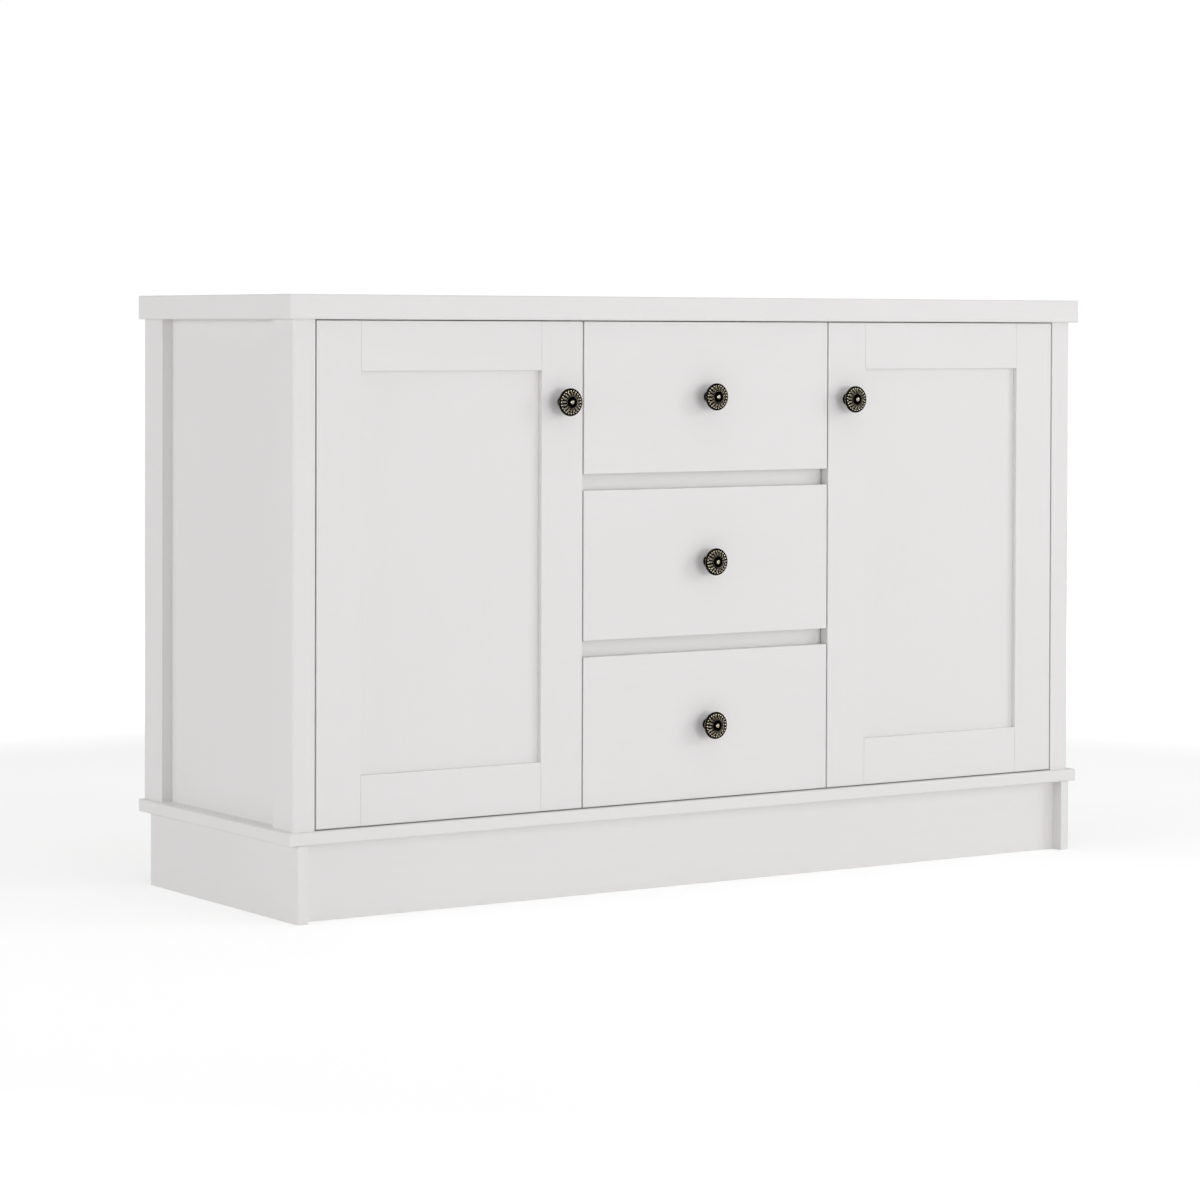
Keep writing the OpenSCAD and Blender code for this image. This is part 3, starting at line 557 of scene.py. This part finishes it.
floor_mesh = bpy.data.meshes.new("studio_floor")
REACH = 30.0
floor_mesh.from_pydata(
    [(-REACH, -REACH, 0), (REACH, -REACH, 0), (REACH, REACH, 0), (-REACH, REACH, 0)], [], [(0, 1, 2, 3)]
)
floor_mesh.materials.append(floor_paper())
floor = bpy.data.objects.new("studio_floor", floor_mesh)
bpy.context.scene.collection.objects.link(floor)
floor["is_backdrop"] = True

scene = bpy.context.scene
world = bpy.data.worlds.new("studio")
scene.world = world
world.use_nodes = True
background = world.node_tree.nodes["Background"]
background.inputs["Color"].default_value = (1.0, 1.0, 1.0, 1.0)
direction = world.node_tree.nodes.new("ShaderNodeTexCoord")
height = world.node_tree.nodes.new("ShaderNodeSeparateXYZ")
glow = world.node_tree.nodes.new("ShaderNodeMapRange")
glow.interpolation_type = "SMOOTHSTEP"
glow.inputs["From Min"].default_value = math.sin(math.radians(WALL_TOP))
glow.inputs["From Max"].default_value = math.sin(math.radians(CEILING_EDGE))
glow.inputs["To Min"].default_value = WALL_GLOW
glow.inputs["To Max"].default_value = CEILING_GLOW
world.node_tree.links.new(direction.outputs["Generated"], height.inputs["Vector"])
world.node_tree.links.new(height.outputs["Z"], glow.inputs["Value"])
seen = world.node_tree.nodes.new("ShaderNodeLightPath")
strength = world.node_tree.nodes.new("ShaderNodeMix")
strength.data_type = "FLOAT"
strength.inputs[3].default_value = SWEEP_WHITE
world.node_tree.links.new(seen.outputs["Is Camera Ray"], strength.inputs[0])
world.node_tree.links.new(glow.outputs["Result"], strength.inputs[2])
world.node_tree.links.new(strength.outputs[0], background.inputs["Strength"])


MIDDLE_HEIGHT = 0.4


def softbox(name, azimuth, elevation, distance, size, power):
    """A rectangular lamp that faces the middle of the object.
    Azimuth 0 stands in front of the object and 90 on its right."""
    light = bpy.data.lights.new(name, "AREA")
    light.shape = "RECTANGLE"
    light.size, light.size_y = size
    light.energy = power
    lamp = bpy.data.objects.new(name, light)
    scene.collection.objects.link(lamp)
    across, rise = math.radians(azimuth), math.radians(elevation)
    back = Vector(
        (math.sin(across) * math.cos(rise), -math.cos(across) * math.cos(rise), math.sin(rise))
    )
    lamp.location = Vector((0, 0, MIDDLE_HEIGHT)) + back * distance
    lamp.rotation_mode = "QUATERNION"
    lamp.rotation_quaternion = back.to_track_quat("Z", "Y")
    return lamp


# name, azimuth, elevation, distance, width and height, watts
softbox("key_light", 52, 18, 7.0, (1.9, 1.9), 58)
softbox("right_fill", 38, 8, 6.0, (7.0, 3.0), 30)
softbox("front_fill", 4, 3, 6.0, (3.0, 1.6), 71)
softbox("side_fill", -91, 8, 6.0, (3.0, 1.6), 82)
softbox("top_light", 0, 88, 4.2, (5.0, 5.0), 56)

FOCAL_LENGTH = 111.3
FRAME_SHIFT = -0.1716
CAMERA_PLACE = (-2.9278, -4.3108, 0.7563)
# the camera's azimuth, how far it is raised from looking straight down, and its roll, in degrees
CAMERA_TURN = -33.75
CAMERA_RISE = 89.0
CAMERA_ROLL = 0.165

camera_data = bpy.data.cameras.new("camera")
camera = bpy.data.objects.new("camera", camera_data)
scene.collection.objects.link(camera)
camera_data.sensor_width = 36.0
camera_data.lens = FOCAL_LENGTH
camera_data.shift_y = FRAME_SHIFT
camera.location = CAMERA_PLACE
camera.rotation_mode = "XYZ"
turned = (
    Matrix.Rotation(math.radians(CAMERA_TURN), 4, "Z")
    @ Matrix.Rotation(math.radians(CAMERA_RISE), 4, "X")
    @ Matrix.Rotation(math.radians(CAMERA_ROLL), 4, "Z")
)
camera.rotation_euler = turned.to_euler("XYZ")
camera_data.clip_start = 0.05
camera_data.clip_end = 100.0
scene.camera = camera

scene.view_settings.view_transform = "Standard"
scene.view_settings.look = "None"

low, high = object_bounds()
